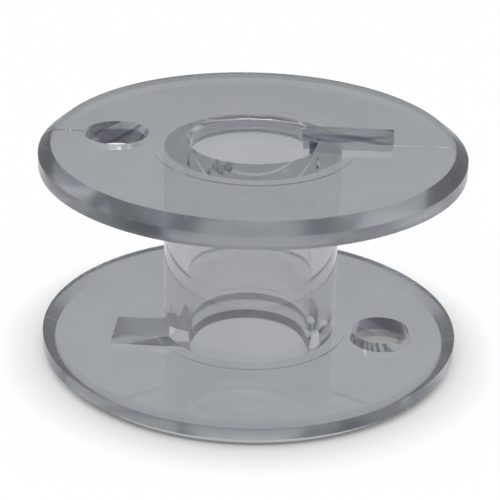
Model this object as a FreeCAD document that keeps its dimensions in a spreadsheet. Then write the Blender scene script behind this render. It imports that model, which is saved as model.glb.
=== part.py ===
import FreeCAD, Part
import math
import os
import Sketcher
from FreeCAD import Vector

# Driving sizes of the bobbin in millimetres; a share is a part of the way from the hub to the rim
driving_sizes = {
    "flange_diameter": 20.5,
    "overall_height": 11.0,
    "flange_thickness": 1.1,
    "rim_bevel_width": 0.6,
    "rim_bevel_height": 0.48,
    "rim_rounding": 0.12,
    "bore_diameter": 6.1,
    "bore_lead_in": 0.15,
    "hub_wall": 1.2,
    "hub_foot_radius": 0.6,
    "slot_width": 2.1,
    "slot_end_share": 0.41,
    "pin_hole_diameter": 3.1,
    "pin_hole_share": 0.39,
}

doc = FreeCAD.newDocument("Bobbin")
sheet = doc.addObject("Spreadsheet::Sheet", "Sizes")
for row, (alias, value) in enumerate(driving_sizes.items(), start=1):
    sheet.set(f"A{row}", alias)
    sheet.set(f"B{row}", str(value))
    sheet.setAlias(f"B{row}", alias)
doc.recompute()

# Lengths that follow from the driving sizes, as the sketches' expressions use them
rim_radius = "Sizes.flange_diameter / 2"
bore_radius = "Sizes.bore_diameter / 2"
hub_radius = f"({bore_radius} + Sizes.hub_wall)"
web_width = f"({rim_radius} - {hub_radius})"
slot_reach = f"{hub_radius} + Sizes.slot_end_share * {web_width}"
pin_hole_reach = f"{hub_radius} + Sizes.pin_hole_share * {web_width}"
cut_depth = "Sizes.flange_thickness + Sizes.hub_foot_radius"

# The slot points this way along X in the top flange, and the other way in the bottom one
top_side = 1
bottom_side = -1

body = doc.addObject("PartDesign::Body", "Bobbin")
body.Label = "bobbin"
origin_planes = {feature.Role: feature for feature in body.Origin.OriginFeatures}

# Sketch references: the origin point, the level axis, the ends of a line and the middle of a circle
origin = (-1, 1)
level_axis = -1
start, end, centre = range(1, 4)


def amount(expression):
    return float(sheet.evalExpression(expression))


def new_sketch(name, plane):
    sketch = body.newObject("Sketcher::SketchObject", name)
    sketch.AttachmentSupport = [(origin_planes[plane], "")]
    sketch.MapMode = "FlatFace"
    return sketch


def add_line(sketch, first, last):
    return sketch.addGeometry(Part.LineSegment(Vector(*first, 0), Vector(*last, 0)))


def add_fixed(sketch, kind, *references):
    sketch.addConstraint(Sketcher.Constraint(kind, *references))


def add_size(sketch, name, expression, kind, *references):
    index = sketch.addConstraint(Sketcher.Constraint(kind, *references, amount(expression)))
    sketch.renameConstraint(index, name)
    sketch.setExpression(f"Constraints.{name}", expression)


def half_section():
    """Outline of the hub and both flanges on one side of the axis."""
    rim = amount(rim_radius)
    bore = amount(bore_radius)
    hub = amount(hub_radius)
    top = amount("Sizes.overall_height")
    thickness = amount("Sizes.flange_thickness")
    foot = amount("Sizes.hub_foot_radius")
    lead = amount("Sizes.bore_lead_in")
    edge = rim - amount("Sizes.rim_bevel_width")
    bevel = amount("Sizes.rim_bevel_height")
    inner_low = thickness
    inner_high = top - thickness

    sketch = new_sketch("HalfSection", "XZ_Plane")

    def foot_arc(height, first_angle, last_angle):
        circle = Part.Circle(Vector(hub + foot, height, 0), Vector(0, 0, 1), foot)
        return sketch.addGeometry(Part.ArcOfCircle(circle, first_angle, last_angle))

    base_face = add_line(sketch, (bore + lead, 0), (edge, 0))
    low_bevel = add_line(sketch, (edge, 0), (rim, bevel))
    low_rim = add_line(sketch, (rim, bevel), (rim, inner_low))
    low_inner = add_line(sketch, (rim, inner_low), (hub + foot, inner_low))
    low_foot = foot_arc(inner_low + foot, math.pi, 1.5 * math.pi)
    hub_side = add_line(sketch, (hub, inner_low + foot), (hub, inner_high - foot))
    high_foot = foot_arc(inner_high - foot, 0.5 * math.pi, math.pi)
    high_inner = add_line(sketch, (hub + foot, inner_high), (rim, inner_high))
    high_rim = add_line(sketch, (rim, inner_high), (rim, top - bevel))
    high_bevel = add_line(sketch, (rim, top - bevel), (edge, top))
    top_face = add_line(sketch, (edge, top), (bore + lead, top))
    high_lead = add_line(sketch, (bore + lead, top), (bore, top - lead))
    bore_side = add_line(sketch, (bore, top - lead), (bore, lead))
    low_lead = add_line(sketch, (bore, lead), (bore + lead, 0))

    chain = [high_inner, high_rim, high_bevel, top_face, high_lead, bore_side, low_lead]
    chain += [base_face, low_bevel, low_rim, low_inner]
    for line, following in zip(chain, chain[1:]):
        add_fixed(sketch, "Coincident", line, end, following, start)
    add_fixed(sketch, "Tangent", low_inner, end, low_foot, end)
    add_fixed(sketch, "Tangent", low_foot, start, hub_side, start)
    add_fixed(sketch, "Tangent", hub_side, end, high_foot, end)
    add_fixed(sketch, "Tangent", high_foot, start, high_inner, start)
    for line in (base_face, low_inner, high_inner, top_face):
        add_fixed(sketch, "Horizontal", line)
    for line in (low_rim, hub_side, high_rim, bore_side):
        add_fixed(sketch, "Vertical", line)
    add_fixed(sketch, "PointOnObject", base_face, start, level_axis)
    add_fixed(sketch, "Vertical", low_rim, end, high_rim, start)
    add_fixed(sketch, "Vertical", base_face, end, top_face, start)
    add_fixed(sketch, "Vertical", base_face, start, top_face, end)
    add_fixed(sketch, "Equal", low_foot, high_foot)

    add_size(sketch, "RimRadius", rim_radius, "DistanceX", *origin, low_rim, start)
    add_size(sketch, "HubRadius", hub_radius, "DistanceX", *origin, hub_side, start)
    add_size(sketch, "BoreRadius", bore_radius, "DistanceX", *origin, bore_side, start)
    add_size(sketch, "Height", "Sizes.overall_height", "DistanceY", *origin, top_face, start)
    add_size(sketch, "LowFlange", "Sizes.flange_thickness", "DistanceY", *origin, low_rim, end)
    add_size(sketch, "HighFlange", "Sizes.flange_thickness", "DistanceY", high_rim, start, top_face, start)
    add_size(sketch, "BevelWidth", "Sizes.rim_bevel_width", "DistanceX", low_bevel, start, low_bevel, end)
    add_size(sketch, "LowBevel", "Sizes.rim_bevel_height", "DistanceY", low_bevel, start, low_bevel, end)
    add_size(sketch, "HighBevel", "Sizes.rim_bevel_height", "DistanceY", high_bevel, start, high_bevel, end)
    add_size(sketch, "Foot", "Sizes.hub_foot_radius", "Radius", low_foot)
    add_size(sketch, "LeadWidth", "Sizes.bore_lead_in", "DistanceX", low_lead, start, low_lead, end)
    add_size(sketch, "LowLead", "Sizes.bore_lead_in", "DistanceY", low_lead, end, low_lead, start)
    add_size(sketch, "HighLead", "Sizes.bore_lead_in", "DistanceY", high_lead, end, high_lead, start)
    return sketch


def turned_blank():
    """Both flanges and the hub between them, turned round the upright axis."""
    sketch = half_section()
    blank = body.newObject("PartDesign::Revolution", "TurnedBlank")
    blank.Profile = sketch
    blank.ReferenceAxis = (sketch, ["V_Axis"])
    blank.Angle = 360
    doc.recompute()
    return blank


def is_ring(edge, radius, height):
    if not isinstance(edge.Curve, Part.Circle):
        return False
    same_radius = abs(edge.Curve.Radius - radius) < Part.Precision.confusion()
    return same_radius and abs(edge.Curve.Center.z - height) < Part.Precision.confusion()


def rounded_rims(blank):
    """Small rounding on both edges of each bevel; the edge towards the thread stays sharp."""
    rim = amount(rim_radius)
    edge_radius = rim - amount("Sizes.rim_bevel_width")
    top = amount("Sizes.overall_height")
    bevel = amount("Sizes.rim_bevel_height")
    rings = [(edge_radius, 0), (rim, bevel), (rim, top - bevel), (edge_radius, top)]
    names = []
    for number, edge in enumerate(blank.Shape.Edges, start=1):
        if any(is_ring(edge, radius, height) for radius, height in rings):
            names.append(f"Edge{number}")
    if len(names) != len(rings):
        raise RuntimeError(f"{len(names)} bevel edges found, not {len(rings)}")
    fillet = body.newObject("PartDesign::Fillet", "RimRounding")
    fillet.Base = (blank, names)
    fillet.setExpression("Radius", "Sizes.rim_rounding")
    doc.recompute()


def flange_cuts(name, side):
    """Driving slot on one side of the bore and pin hole on the other, through one flange."""
    width = side * amount("Sizes.slot_width")
    reach = side * amount(slot_reach)
    hole_radius = amount("Sizes.pin_hole_diameter / 2")
    hole_middle = Vector(-side * amount(pin_hole_reach), 0, 0)

    sketch = new_sketch(name + "Outlines", "XY_Plane")
    if side == top_side:
        sketch.setExpression("AttachmentOffset.Base.z", "Sizes.overall_height")
    # One edge of the slot lies on the mould's parting plane, in line with the pin hole
    parting_edge = add_line(sketch, (0, 0), (reach, 0))
    slot_end = add_line(sketch, (reach, 0), (reach, width))
    far_edge = add_line(sketch, (reach, width), (0, width))
    axis_line = add_line(sketch, (0, width), (0, 0))
    loop = [parting_edge, slot_end, far_edge, axis_line, parting_edge]
    for line, following in zip(loop, loop[1:]):
        add_fixed(sketch, "Coincident", line, end, following, start)
    add_fixed(sketch, "Coincident", parting_edge, start, *origin)
    add_fixed(sketch, "Horizontal", parting_edge)
    add_fixed(sketch, "Horizontal", far_edge)
    add_fixed(sketch, "Vertical", slot_end)
    add_fixed(sketch, "Vertical", axis_line)

    hole = sketch.addGeometry(Part.Circle(hole_middle, Vector(0, 0, 1), hole_radius))
    add_fixed(sketch, "PointOnObject", hole, centre, level_axis)
    add_size(sketch, "PinHole", "Sizes.pin_hole_diameter", "Diameter", hole)

    slot_corner = (*origin, slot_end, end)
    hole_side = (hole, centre, *origin)
    if side == bottom_side:
        slot_corner = (slot_end, end, *origin)
        hole_side = (*origin, hole, centre)
    add_size(sketch, "SlotReach", slot_reach, "DistanceX", *slot_corner)
    add_size(sketch, "SlotWidth", "Sizes.slot_width", "DistanceY", *slot_corner)
    add_size(sketch, "PinHoleReach", pin_hole_reach, "DistanceX", *hole_side)
    doc.recompute()

    volume_before = body.Shape.Volume
    pocket = body.newObject("PartDesign::Pocket", name)
    pocket.Profile = sketch
    pocket.Reversed = side == bottom_side
    pocket.setExpression("Length", cut_depth)
    doc.recompute()
    if body.Shape.Volume >= volume_before:
        raise RuntimeError(f"{name} removed nothing")


rounded_rims(turned_blank())
flange_cuts("TopCuts", top_side)
flange_cuts("BottomCuts", bottom_side)

for item in doc.Objects:
    if "Invalid" in item.State or "Error" in item.State:
        raise RuntimeError(f"{item.Name} failed: {item.State}")
if body.Shape.isNull() or not body.Shape.isValid() or len(body.Shape.Solids) != 1:
    raise RuntimeError("the bobbin is not one valid solid")

os.makedirs("parts", exist_ok=True)
body.Shape.exportStep(f"parts/{body.Label}.step")
box = body.Shape.optimalBoundingBox()
extents = f"{box.XLength:.3f} x {box.YLength:.3f} x {box.ZLength:.3f} mm"
print(f"{body.Label}: {extents}, {body.Shape.Volume:.1f} mm3")
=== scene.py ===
import math

import bmesh
import bpy
from mathutils import Matrix, Vector


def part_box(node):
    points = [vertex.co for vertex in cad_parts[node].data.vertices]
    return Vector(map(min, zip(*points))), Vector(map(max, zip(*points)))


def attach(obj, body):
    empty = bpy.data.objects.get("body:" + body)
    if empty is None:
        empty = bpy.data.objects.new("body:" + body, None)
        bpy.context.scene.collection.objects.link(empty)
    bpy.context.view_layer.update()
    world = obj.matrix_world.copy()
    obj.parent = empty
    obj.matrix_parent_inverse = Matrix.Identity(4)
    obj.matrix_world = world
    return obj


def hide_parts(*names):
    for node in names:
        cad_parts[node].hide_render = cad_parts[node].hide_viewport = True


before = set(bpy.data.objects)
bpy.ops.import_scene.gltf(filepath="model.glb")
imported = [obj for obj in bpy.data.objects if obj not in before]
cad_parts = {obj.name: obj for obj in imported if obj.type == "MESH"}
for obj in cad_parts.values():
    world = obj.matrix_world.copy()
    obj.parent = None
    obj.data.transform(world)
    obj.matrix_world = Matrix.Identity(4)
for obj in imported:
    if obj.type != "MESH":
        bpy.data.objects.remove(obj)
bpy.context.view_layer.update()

mm = 0.001
scene = bpy.context.scene


def makeNode(tree, kind, inputs=None, **settings):
    node = tree.nodes.new(kind)
    columns, wide, tall = 12, 180, 240  # laid out in rows in the editor
    node.location = (wide * (len(tree.nodes) % columns), -tall * (len(tree.nodes) // columns))
    for name, value in settings.items():
        setattr(node, name, value)
    for name, value in (inputs or {}).items():
        if isinstance(value, bpy.types.NodeSocket):
            tree.links.new(value, node.inputs[name])
        else:
            node.inputs[name].default_value = value
    return node


# lengths in mm, the solid's own but for the foot step, the draft and the parting line
bobbinSizes = {
    "flangeThickness": 1.1,
    "bevelWidth": 0.6,
    "bevelHeight": 0.48,
    "rimRounding": 0.12,
    "boreRadius": 3.05,
    "boreLeadIn": 0.15,
    "hubRadius": 4.25,
    "footRadius": 0.6,
    "footStep": 0.05,  # sharp edge where the foot meets the flange
    "slotWidth": 2.1,
    "slotReach": 6.71,
    "pinHoleRadius": 1.55,
    "pinHoleReach": 6.59,
    "cutDepth": 1.7,
    "cutDraft": 0.12,  # the cuts narrow this much per mm of depth
    "seamRadius": 0.024,  # seam is the mould's parting line
    "seamSides": 10,
    "seamStart": 6.62,
    "seamGap": 0.06,  # it ends this far short of the winding space
    "stepsAround": 240,
    "holeSteps": 96,
    "footSteps": 14,
    "rimSteps": 6,
    "mergeGap": 0.0005,  # corners nearer than this become one
    "sharpAngle": 24,  # degrees
    "flatWeight": 100,
}


def halfSection(sizes, rim, height):
    lead = sizes["boreLeadIn"]
    bore = sizes["boreRadius"]
    thick = sizes["flangeThickness"]
    edge = rim - sizes["bevelWidth"]
    step = sizes["footStep"]
    foot = sizes["hubRadius"] + sizes["footRadius"]
    lower = [  # radius, height, rounding, steps, 1 along the parting line
        (bore, lead, 0, 0, 0),
        (bore + lead, 0, 0, 0, 0),
        (sizes["seamStart"], 0, 0, 0, 1),
        (edge, 0, sizes["rimRounding"], sizes["rimSteps"], 1),
        (rim, sizes["bevelHeight"], sizes["rimRounding"], sizes["rimSteps"], 1),
        (rim, thick - sizes["seamGap"], 0, 0, 1),
        (rim, thick, 0, 0, 0),
        (foot, thick, 0, 0, 0),
        (foot, thick + step, 0, 0, 0),
        (sizes["hubRadius"], thick + step, sizes["footRadius"] - step, sizes["footSteps"], 0),
    ]
    upper = [(r, height - z, *rest) for r, z, *rest in reversed(lower)]
    return [(*corner[:4], 0) for corner in lower] + upper


def sectionMesh(corners):
    mesh = bpy.data.meshes.new("bobbinSection")
    count = len(corners)
    ring = [(i, (i + 1) % count) for i in range(count)]
    mesh.from_pydata([(r * mm, 0, z * mm) for r, z, *rest in corners], ring, [])
    rounding = mesh.attributes.new("rounding", "FLOAT", "POINT")
    steps = mesh.attributes.new("steps", "INT", "POINT")
    seam = mesh.attributes.new("seam", "FLOAT", "POINT")
    for i, (r, z, radius, stepCount, onSeam) in enumerate(corners):
        rounding.data[i].value = radius * mm
        steps.data[i].value = stepCount
        seam.data[i].value = onSeam
    return mesh


def turnedBobbinTree():
    tree = bpy.data.node_groups.new("turnedBobbin", "GeometryNodeTree")
    face = tree.interface
    face.new_socket("Section", in_out="INPUT", socket_type="NodeSocketGeometry")
    for name in ("Steps Around", "Hole Steps", "Seam Sides"):
        face.new_socket(name, in_out="INPUT", socket_type="NodeSocketInt")
    lengths = (
        "Height", "Sweep Radius", "Slot Width", "Slot Reach", "Pin Hole Radius",
        "Pin Hole Reach", "Cut Depth", "Cut Draft", "Seam Radius",
    )
    for name in lengths:
        face.new_socket(name, in_out="INPUT", socket_type="NodeSocketFloat")
    face.new_socket("Plastic", in_out="INPUT", socket_type="NodeSocketMaterial")
    face.new_socket("Bobbin", in_out="OUTPUT", socket_type="NodeSocketGeometry")
    given = makeNode(tree, "NodeGroupInput").outputs

    def sums(operation, a, b, c=0.0):
        return makeNode(tree, "ShaderNodeMath", {0: a, 1: b, 2: c}, operation=operation).outputs[0]

    def vector(x, y, z):
        return makeNode(tree, "ShaderNodeCombineXYZ", {"X": x, "Y": y, "Z": z}).outputs[0]

    def attribute(name, kind):
        node = makeNode(tree, "GeometryNodeInputNamedAttribute", {"Name": name}, data_type=kind)
        return node.outputs[0]

    def placed(geometry, place=(0, 0, 0), turn=(0, 0, 0)):
        inputs = {"Geometry": geometry, "Translation": place, "Rotation": turn}
        return makeNode(tree, "GeometryNodeTransform", inputs).outputs[0]

    def joined(*parts):
        node = makeNode(tree, "GeometryNodeJoinGeometry")
        for part in parts:
            tree.links.new(part, node.inputs[0])
        return node.outputs[0]

    # corners rounded first, then the section goes once round the axis
    loop = makeNode(tree, "GeometryNodeMeshToCurve", {"Mesh": given["Section"]}).outputs[0]
    rounded = makeNode(tree, "GeometryNodeFilletCurve", {
        "Curve": loop, "Radius": attribute("rounding", "FLOAT"), "Count": attribute("steps", "INT"),
    }, mode="POLY").outputs[0]
    inward = sums("MULTIPLY", given["Sweep Radius"], -1.0)
    laid = placed(rounded, vector(inward, 0.0, 0.0), (math.pi / 2, 0, 0))
    circle = makeNode(tree, "GeometryNodeCurvePrimitiveCircle", {
        "Resolution": given["Steps Around"], "Radius": given["Sweep Radius"],
    }).outputs[0]
    turned = makeNode(tree, "GeometryNodeCurveToMesh", {
        "Curve": circle, "Profile Curve": laid,
    }).outputs[0]

    # taken through the middle of the bobbin, from the top flange to the bottom one
    def mirrored(part):
        through = makeNode(tree, "GeometryNodeTransform", {
            "Geometry": part, "Translation": vector(0.0, 0.0, given["Height"]),
            "Scale": (-1, -1, -1),
        }).outputs[0]
        return makeNode(tree, "GeometryNodeFlipFaces", {"Mesh": through}).outputs[0]

    # the mould's parting line, a fine bead over the outer face and the rim on both sides
    away = sums("LESS_THAN", attribute("seam", "FLOAT"), 0.5)
    path = makeNode(tree, "GeometryNodeDeleteGeometry", {
        "Geometry": rounded, "Selection": away,
    }, domain="POINT").outputs[0]
    path = makeNode(tree, "GeometryNodeSetSplineCyclic", {
        "Geometry": path, "Cyclic": False,
    }).outputs[0]
    wire = makeNode(tree, "GeometryNodeCurvePrimitiveCircle", {
        "Resolution": given["Seam Sides"], "Radius": given["Seam Radius"],
    })
    bead = makeNode(tree, "GeometryNodeCurveToMesh", {
        "Curve": path, "Profile Curve": wire.outputs[0], "Fill Caps": True,
    }).outputs[0]
    beads = joined(bead, placed(bead, turn=(0, 0, math.pi)))
    seamed = makeNode(tree, "GeometryNodeMeshBoolean", operation="UNION", solver="EXACT")
    for part in (turned, beads, mirrored(beads)):
        tree.links.new(part, seamed.inputs["Mesh 2"])

    # slot and pin hole of the top flange, narrower towards the winding space
    top = given["Height"]
    twice = sums("MULTIPLY", given["Cut Depth"], 2.0)
    taper = sums("MULTIPLY", given["Cut Depth"], given["Cut Draft"])
    less = sums("MULTIPLY", taper, -1.0)
    under = sums("MULTIPLY", given["Cut Depth"], -1.0)

    # one edge of the slot stays on the parting plane, in line with the pin hole
    def slotOutline(extra, rise):
        reach = sums("ADD", given["Slot Reach"], extra)
        width = sums("ADD", given["Slot Width"], extra)
        sheet = makeNode(tree, "GeometryNodeMeshGrid", {
            "Size X": reach, "Size Y": width, "Vertices X": 2, "Vertices Y": 2,
        }).outputs[0]
        halfReach = sums("MULTIPLY", reach, 0.5)
        halfWidth = sums("MULTIPLY", width, 0.5)
        return placed(sheet, vector(halfReach, halfWidth, sums("ADD", top, rise)))

    slot = makeNode(tree, "GeometryNodeConvexHull", {
        "Geometry": joined(slotOutline(less, under), slotOutline(taper, given["Cut Depth"])),
    }).outputs[0]
    left = sums("MULTIPLY", given["Pin Hole Reach"], -1.0)
    cone = makeNode(tree, "GeometryNodeMeshCone", {
        "Vertices": given["Hole Steps"],
        "Radius Bottom": sums("SUBTRACT", given["Pin Hole Radius"], taper),
        "Radius Top": sums("ADD", given["Pin Hole Radius"], taper),
        "Depth": twice,
    }).outputs[0]
    hole = placed(cone, vector(left, 0.0, sums("ADD", top, under)))

    cut = makeNode(tree, "GeometryNodeMeshBoolean", operation="DIFFERENCE", solver="EXACT")
    tree.links.new(seamed.outputs["Mesh"], cut.inputs["Mesh 1"])
    for tool in (slot, hole):
        tree.links.new(tool, cut.inputs["Mesh 2"])
        tree.links.new(mirrored(tool), cut.inputs["Mesh 2"])
    real = makeNode(tree, "GeometryNodeRealizeInstances", {
        "Geometry": cut.outputs["Mesh"],
    }).outputs[0]
    smooth = makeNode(tree, "GeometryNodeSetShadeSmooth", {"Geometry": real}).outputs[0]
    done = makeNode(tree, "GeometryNodeSetMaterial", {
        "Geometry": smooth, "Material": given["Plastic"],
    }).outputs[0]
    makeNode(tree, "NodeGroupOutput", {"Bobbin": done})
    return tree


def plainMesh(piece):
    seen = piece.evaluated_get(bpy.context.evaluated_depsgraph_get())
    mesh = bpy.data.meshes.new_from_object(seen)
    piece.modifiers.clear()
    piece.data = mesh
    return mesh


cutWalls = {  # where the walls of the cuts are looked for, in mm
    "aboveCutEnd": 0.1,
    "outsideBore": 0.2,
    "pastSlot": 2,
    "upwardShare": 0.3,  # of a face's normal, at most
}


# the walls of slots and pin holes get a mark each, so that the plastic can carry painted shade and
# painted lighter tones on them
def markCutWalls(mesh, sizes, height, walls):
    slotWall = mesh.attributes.new("slotWall", "FLOAT", "FACE")
    holeWall = mesh.attributes.new("holeWall", "FLOAT", "FACE")
    for face in mesh.polygons:
        x, y, z = face.center / mm
        aboveMiddle = z - height / 2
        inFlange = abs(aboveMiddle) > height / 2 - sizes["cutDepth"] + walls["aboveCutEnd"]
        nearest = sizes["boreRadius"] + walls["outsideBore"]
        farthest = sizes["slotReach"] + walls["pastSlot"]
        between = nearest < math.hypot(x, y) < farthest
        if inFlange and between and abs(face.normal.z) < walls["upwardShare"]:
            isSlot = x * aboveMiddle > 0
            (slotWall if isSlot else holeWall).data[face.index].value = 1.0


def mouldedBobbin(sizes, plastic):
    low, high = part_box("bobbin")
    height = (high.z - low.z) / mm
    rim = (high.x - low.x) / 2 / mm
    piece = bpy.data.objects.new("mouldedBobbin", sectionMesh(halfSection(sizes, rim, height)))
    scene.collection.objects.link(piece)
    shape = piece.modifiers.new("turned", "NODES")
    shape.node_group = turnedBobbinTree()
    values = {
        "Steps Around": sizes["stepsAround"],
        "Hole Steps": sizes["holeSteps"],
        "Seam Sides": sizes["seamSides"],
        "Height": height * mm,
        "Sweep Radius": sizes["hubRadius"] * mm,
        "Slot Width": sizes["slotWidth"] * mm,
        "Slot Reach": sizes["slotReach"] * mm,
        "Pin Hole Radius": sizes["pinHoleRadius"] * mm,
        "Pin Hole Reach": sizes["pinHoleReach"] * mm,
        "Cut Depth": sizes["cutDepth"] * mm,
        "Cut Draft": sizes["cutDraft"],
        "Seam Radius": sizes["seamRadius"] * mm,
        "Plastic": plastic,
    }
    for socket in shape.node_group.interface.items_tree:
        if socket.in_out == "INPUT" and socket.name in values:
            shape[socket.identifier] = values[socket.name]
    mesh = plainMesh(piece)

    work = bmesh.new()
    work.from_mesh(mesh)
    bmesh.ops.remove_doubles(work, verts=work.verts, dist=sizes["mergeGap"] * mm)
    bmesh.ops.recalc_face_normals(work, faces=work.faces)
    loose = sum(1 for edge in work.edges if len(edge.link_faces) != 2)
    volume = work.calc_volume(signed=True) / mm ** 3
    work.to_mesh(mesh)
    work.free()
    mesh.set_sharp_from_angle(angle=math.radians(sizes["sharpAngle"]))
    flat = piece.modifiers.new("flatFaces", "WEIGHTED_NORMAL")
    flat.keep_sharp = True
    flat.weight = sizes["flatWeight"]
    mesh = plainMesh(piece)
    markCutWalls(mesh, sizes, height, cutWalls)
    print("bobbin:", len(mesh.polygons), "faces,", loose, "open edges")
    print("bobbin:", round(volume, 1), "cubic mm")
    return piece


plasticLook = {  # lengths in mm
    "flangeTone": (0.415, 0.435, 0.449),
    # painted light: the hub is coloured lighter than the flanges
    "hubPaintedLightTone": (0.455, 0.47, 0.495),
    # painted shade: the rim is coloured darker than the flanges
    "rimShadeTone": (0.37, 0.388, 0.42),
    # painted highlight: the bore's lead-in edge is coloured near white
    "paintedHighlightTone": (0.95, 0.96, 0.97),
    # painted light: the walls of the cuts are coloured lighter than the flanges
    "paintedWallTone": (0.62, 0.635, 0.65),
    "paintedFarWallTone": (0.46, 0.475, 0.49),
    "paintedPartingWallTone": (0.8, 0.815, 0.83),
    # painted shade on the walls of the cuts
    "wallShade": (0.15, 0.156, 0.195),
    "unevenness": 0.07,
    "bend": 1.5,
    "smokeTone": (0.62, 0.645, 0.67),
    "smoke": 75.0,  # per metre
    "gloss": 0.012,
    "scuffed": 0.11,
    "rimRough": 0.22,
    "slotRough": 0.4,  # on the slot walls by the parting plane
    "middle": 5.5,  # half the height
    "hubEnd": (4.1, 4.4),
    "rimStart": (9.6, 9.7),
    "boreHighlight": (3.22, 0.17),  # how far out and how deep the painted highlight on the bore's edge goes
    "shadeDepth": (0.33, 0.42),  # down the wall from the outer face
    "wedgeSlope": 0.19,  # the painted shade wedge in the slots gets thinner outwards
    "wedgeEnd": 6.35,
    "wedgeBlur": 0.03,
    "holeShade": (0.75, 1.0),
    "slotMiddle": (0.9, 1.1),  # across the slot, from the parting plane
    "flow": {"Scale": 0.3, "Detail": 3.0},
    "flowRange": (0.3, 0.7),
    "scratches": {"Scale": 1.0, "Detail": 2.0},
    "scratchTurns": (24, -52),  # degrees
    "scratchScales": ((0.5, 11, 3), (0.4, 9, 3)),
    "scratchRange": (0.66, 0.72),
    "patches": {"Scale": 0.8, "Detail": 6.0, "Roughness": 0.7},
    "scratchWear": 0.2,
    "wornRange": (0.55, 1.1),
    "waves": {"Scale": 0.7, "Detail": 2.0},
    "waveHeight": 0.0000016,  # metres
    "scratchDepth": 0.0000004,
}


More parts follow.
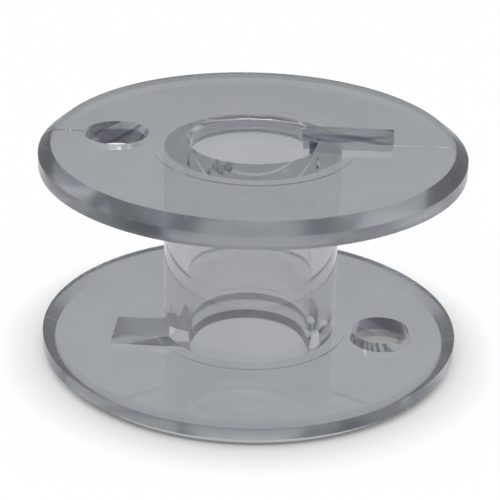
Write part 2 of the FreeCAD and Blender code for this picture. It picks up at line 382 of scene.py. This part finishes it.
def clearSmokePlastic(look):
    material = bpy.data.materials.new("clearSmokePlastic")
    material.use_nodes = True
    tree = material.node_tree
    tree.nodes.clear()

    def sums(operation, a, b=0.0, c=0.0):
        return makeNode(tree, "ShaderNodeMath", {0: a, 1: b, 2: c}, operation=operation).outputs[0]

    def ramp(value, low, high, start=0.0, stop=1.0):
        return makeNode(tree, "ShaderNodeMapRange", {
            "Value": value, "From Min": low, "From Max": high, "To Min": start, "To Max": stop,
        }).outputs[0]

    def blend(share, a, b):
        ends = [(*end, 1) if isinstance(end, tuple) else end for end in (a, b)]
        return makeNode(tree, "ShaderNodeMix", {
            "Factor": share, "A": ends[0], "B": ends[1],
        }, data_type="RGBA").outputs["Result"]

    def mark(name):
        return makeNode(tree, "ShaderNodeAttribute", attribute_name=name).outputs["Fac"]

    def noise(where, settings):
        return makeNode(tree, "ShaderNodeTexNoise", {"Vector": where, **settings}).outputs["Fac"]

    place = makeNode(tree, "ShaderNodeTexCoord").outputs["Object"]
    perMm = 1 / mm
    inMm = makeNode(tree, "ShaderNodeMapping", {
        "Vector": place, "Scale": (perMm, perMm, perMm),
    }).outputs[0]
    x, y, z = makeNode(tree, "ShaderNodeSeparateXYZ", {"Vector": inMm}).outputs
    flat = makeNode(tree, "ShaderNodeCombineXYZ", {"X": x, "Y": y, "Z": 0.0}).outputs[0]
    across = makeNode(tree, "ShaderNodeVectorMath", {0: flat}, operation="LENGTH").outputs["Value"]
    fromMiddle = sums("ABSOLUTE", sums("SUBTRACT", z, look["middle"]))
    depth = sums("SUBTRACT", look["middle"], fromMiddle)

    # painted shade: a dark band on the walls of the cuts, below the bevel's level, and a wedge of
    # it in the slots
    low = ramp(depth, *look["shadeDepth"])
    toWedgeEnd = sums("SUBTRACT", look["wedgeEnd"], sums("ABSOLUTE", x))
    wedge = sums("MULTIPLY", toWedgeEnd, look["wedgeSlope"])
    under = sums("SUBTRACT", depth, sums("ADD", wedge, look["shadeDepth"][1]))
    aside = sums("ABSOLUTE", y)
    farWall = ramp(aside, *look["slotMiddle"])
    inWedge = ramp(under, -look["wedgeBlur"], look["wedgeBlur"], 1.0, 0.0)
    slotShade = sums("MULTIPLY", sums("MULTIPLY", low, farWall), inWedge)
    slotTone = blend(farWall, look["paintedPartingWallTone"], look["paintedFarWallTone"])
    holeShade = sums("MULTIPLY", low, ramp(aside, *look["holeShade"]))

    # painted light: the hub is coloured lighter than the flanges
    hubShare = ramp(fromMiddle, *look["hubEnd"], 1.0, 0.0)
    tone = blend(hubShare, look["flangeTone"], look["hubPaintedLightTone"])
    rimShare = ramp(across, *look["rimStart"])
    # painted shade: the rim is coloured darker than the flanges
    tone = blend(rimShare, tone, look["rimShadeTone"])
    tone = blend(mark("slotWall"), tone, blend(slotShade, slotTone, look["wallShade"]))
    tone = blend(mark("holeWall"), tone, blend(holeShade, look["paintedWallTone"], look["wallShade"]))
    # painted highlight: the bore's lead-in edge is coloured near white
    nearBore = sums("LESS_THAN", across, look["boreHighlight"][0])
    boreHighlight = sums("MULTIPLY", nearBore, sums("LESS_THAN", depth, look["boreHighlight"][1]))
    tone = blend(boreHighlight, tone, look["paintedHighlightTone"])
    uneven = ramp(noise(inMm, look["flow"]), *look["flowRange"], 1 - look["unevenness"], 1.0)
    tone = makeNode(tree, "ShaderNodeVectorMath", {
        0: tone, 1: uneven,
    }, operation="MULTIPLY").outputs[0]

    # the smoke shows once, on the first wall that is looked through
    path = makeNode(tree, "ShaderNodeLightPath").outputs
    entering = sums("LESS_THAN", path["Transmission Depth"], 0.5)
    mirrored = sums("MULTIPLY", entering, sums("GREATER_THAN", path["Ray Depth"], 0.5))
    firstWall = sums("SUBTRACT", sums("LESS_THAN", path["Transmission Depth"], 1.5), mirrored)
    tint = blend(firstWall, (1.0, 1.0, 1.0), tone)

    # fine scuffs from handling, in two directions, and a slow waviness from the mould
    def scratch(turn, scale):
        along = makeNode(tree, "ShaderNodeMapping", {
            "Vector": inMm, "Rotation": (0, 0, math.radians(turn)), "Scale": scale,
        }).outputs[0]
        return ramp(noise(along, look["scratches"]), *look["scratchRange"])

    scuffs = sums("MAXIMUM", *map(scratch, look["scratchTurns"], look["scratchScales"]))
    wear = sums("MULTIPLY_ADD", scuffs, look["scratchWear"], noise(inMm, look["patches"]))
    worn = ramp(wear, *look["wornRange"], look["gloss"], look["scuffed"])
    rough = sums("MULTIPLY_ADD", rimShare, look["rimRough"], worn)
    parting = sums("MULTIPLY", mark("slotWall"), sums("SUBTRACT", 1.0, farWall))
    rough = sums("MULTIPLY_ADD", parting, look["slotRough"], rough)
    wavy = makeNode(tree, "ShaderNodeBump", {
        "Strength": 1.0, "Distance": look["waveHeight"], "Height": noise(inMm, look["waves"]),
    }).outputs[0]
    bumpy = makeNode(tree, "ShaderNodeBump", {
        "Strength": 1.0, "Distance": look["scratchDepth"], "Height": scuffs, "Normal": wavy,
    }, invert=True).outputs[0]

    shader = makeNode(tree, "ShaderNodeBsdfPrincipled", {
        "Base Color": tint, "Roughness": rough, "Normal": bumpy,
        "IOR": look["bend"], "Transmission Weight": 1.0,
    })
    smoke = makeNode(tree, "ShaderNodeVolumeAbsorption", {
        "Color": (*look["smokeTone"], 1), "Density": look["smoke"],
    })
    makeNode(tree, "ShaderNodeOutputMaterial", {
        "Surface": shader.outputs[0], "Volume": smoke.outputs[0],
    })
    print("clear plastic:", len(tree.nodes), "nodes")
    return material


studio = {
    "floorSide": 1.2,  # metres
    "floorDrop": 0.00003,  # clear of the parting line's bead
    "floorTone": 0.92,
    "shadowShare": 0.85,  # under the bobbin, as the camera sees it
    "whiteShare": 0.97,
    "shadowEdge": (0.0098, 0.0125),  # metres from the axis
    "shadowThrough": 0.1,  # the same, seen through the plastic
    "paperEdge": (0.045, 0.075),  # metres from the bobbin, where the plastic sees the paper end
    "skyFill": 0.6,
    "roomTone": 0.25,  # what the plastic shows beyond the paper
    "ceilingStart": (0.3, 0.75),
}


def mixedShader(tree, share, first, second):
    return makeNode(tree, "ShaderNodeMixShader", {0: share, 1: first, 2: second}).outputs[0]


def plainWhite(tree, kind, strength):
    return makeNode(tree, kind, {"Color": (1, 1, 1, 1), "Strength": strength}).outputs[0]


# 1 for rays that the plastic mirrors or bends
def seenInPlastic(tree, path):
    return makeNode(tree, "ShaderNodeMath", {
        0: path["Is Glossy Ray"], 1: path["Is Transmission Ray"],
    }, operation="ADD", use_clamp=True).outputs[0]


def paleFloor(settings):
    half = settings["floorSide"] / 2
    drop = -settings["floorDrop"]
    corners = [(-half, -half, drop), (half, -half, drop), (half, half, drop), (-half, half, drop)]
    mesh = bpy.data.meshes.new("paleFloor")
    mesh.from_pydata(corners, [], [(0, 1, 2, 3)])
    floor = bpy.data.objects.new("paleFloor", mesh)
    scene.collection.objects.link(floor)
    material = bpy.data.materials.new("paleFloor")
    material.use_nodes = True
    tree = material.node_tree
    tree.nodes.clear()
    tone = settings["floorTone"]
    paper = makeNode(tree, "ShaderNodeBsdfDiffuse", {"Color": (tone, tone, tone, 1)}).outputs[0]
    path = makeNode(tree, "ShaderNodeLightPath").outputs
    place = makeNode(tree, "ShaderNodeTexCoord").outputs["Object"]
    away = makeNode(tree, "ShaderNodeVectorMath", {0: place}, operation="LENGTH").outputs["Value"]

    # as the camera sees it: paper with the shadow near the bobbin, white farther out
    shadowStart, shadowEnd = settings["shadowEdge"]
    clean = makeNode(tree, "ShaderNodeMapRange", {
        "Value": away, "From Min": shadowStart, "From Max": shadowEnd,
        "To Min": 1 - settings["shadowShare"], "To Max": settings["whiteShare"],
    }).outputs[0]
    direct = mixedShader(tree, clean, paper, plainWhite(tree, "ShaderNodeEmission", 1.0))

    # as the plastic shows it: a white paper with an end
    paperStart, paperEnd = settings["paperEdge"]
    dimmed = makeNode(tree, "ShaderNodeMapRange", {
        "Value": away, "From Min": paperStart, "From Max": paperEnd,
        "To Min": 1.0, "To Max": settings["roomTone"],
    }).outputs[0]
    sheet = plainWhite(tree, "ShaderNodeEmission", dimmed)
    refracted = mixedShader(tree, 1 - settings["shadowThrough"], paper, sheet)

    mix = mixedShader(tree, path["Is Camera Ray"], paper, direct)
    mix = mixedShader(tree, seenInPlastic(tree, path), mix, refracted)
    makeNode(tree, "ShaderNodeOutputMaterial", {"Surface": mix})
    mesh.materials.append(material)
    print("floor:", settings["floorSide"], "m wide")


def whiteSky(settings):
    world = bpy.data.worlds.new("whiteSky")
    scene.world = world
    world.use_nodes = True
    tree = world.node_tree
    tree.nodes.clear()
    path = makeNode(tree, "ShaderNodeLightPath").outputs
    toward = makeNode(tree, "ShaderNodeTexCoord").outputs["Generated"]
    rise = makeNode(tree, "ShaderNodeSeparateXYZ", {"Vector": toward}).outputs["Z"]
    start, full = settings["ceilingStart"]
    ceiling = makeNode(tree, "ShaderNodeMapRange", {
        "Value": rise, "From Min": start, "From Max": full,
        "To Min": settings["roomTone"], "To Max": 1.0,
    }).outputs[0]
    soft = plainWhite(tree, "ShaderNodeBackground", settings["skyFill"])
    white = plainWhite(tree, "ShaderNodeBackground", 1.0)
    room = plainWhite(tree, "ShaderNodeBackground", ceiling)
    mix = mixedShader(tree, path["Is Camera Ray"], soft, white)
    mix = mixedShader(tree, seenInPlastic(tree, path), mix, room)
    makeNode(tree, "ShaderNodeOutputWorld", {"Surface": mix})
    print("sky: fill", settings["skyFill"])


softLamps = {  # place, aim, width and depth in mm
    "frontStrip": {
        "place": (0, -215, 256), "aim": (0, 0, 5), "width": 300, "depth": 40, "watts": 0.5,
    },
}


def addLamps(lamps):
    for name, lamp in lamps.items():
        light = bpy.data.lights.new(name, "AREA")
        light.shape = "RECTANGLE"
        light.size = lamp["width"] * mm
        light.size_y = lamp["depth"] * mm
        light.energy = lamp["watts"]
        thing = bpy.data.objects.new(name, light)
        place = Vector(lamp["place"]) * mm
        thing.location = place
        toward = Vector(lamp["aim"]) * mm - place
        thing.rotation_euler = toward.to_track_quat("-Z", "Y").to_euler()
        scene.collection.objects.link(thing)
    print("lamps:", len(lamps))


photoCamera = {
    "elevation": 24.544,  # degrees
    "distance": 85.743,  # mm from the point it looks at
    "target": 5.75,  # mm above the floor
    "roll": 1.535,
    "turn": 3.2,  # the bobbin is turned clockwise by this much
    "lens": 126.0,
    "sensor": 36,
    "shift": (-0.00194, -0.0223),
    "sees": (0.005, 10),  # nearest and farthest, metres
}


def addCamera(settings):
    rise = math.radians(settings["elevation"])
    ahead = Vector((0, math.cos(rise), -math.sin(rise)))
    across = Vector((1, 0, 0))
    above = across.cross(ahead)
    roll = math.radians(settings["roll"])
    right = across * math.cos(roll) + above * math.sin(roll)
    up = above * math.cos(roll) - across * math.sin(roll)
    place = (Vector((0, 0, settings["target"])) - ahead * settings["distance"]) * mm
    axes = Matrix((right, up, -ahead)).transposed().to_4x4()
    data = bpy.data.cameras.new("photoCamera")
    data.sensor_width = settings["sensor"]
    data.lens = settings["lens"]
    data.shift_x, data.shift_y = settings["shift"]
    data.clip_start, data.clip_end = settings["sees"]
    camera = bpy.data.objects.new("photoCamera", data)
    around = Matrix.Rotation(math.radians(settings["turn"]), 4, "Z")
    camera.matrix_world = around @ Matrix.Translation(place) @ axes
    scene.collection.objects.link(camera)
    scene.camera = camera
    print("camera:", settings["distance"], "mm away")


scene.view_settings.view_transform = "Standard"
lightBounces = 32  # through both flanges and the hub
scene.cycles.max_bounces = lightBounces
scene.cycles.transmission_bounces = lightBounces
scene.cycles.glossy_bounces = lightBounces
scene.cycles.caustics_refractive = False
scene.cycles.caustics_reflective = False
plastic = clearSmokePlastic(plasticLook)
bobbin = mouldedBobbin(bobbinSizes, plastic)
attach(bobbin, "root")
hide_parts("bobbin")
paleFloor(studio)
whiteSky(studio)
addLamps(softLamps)
addCamera(photoCamera)
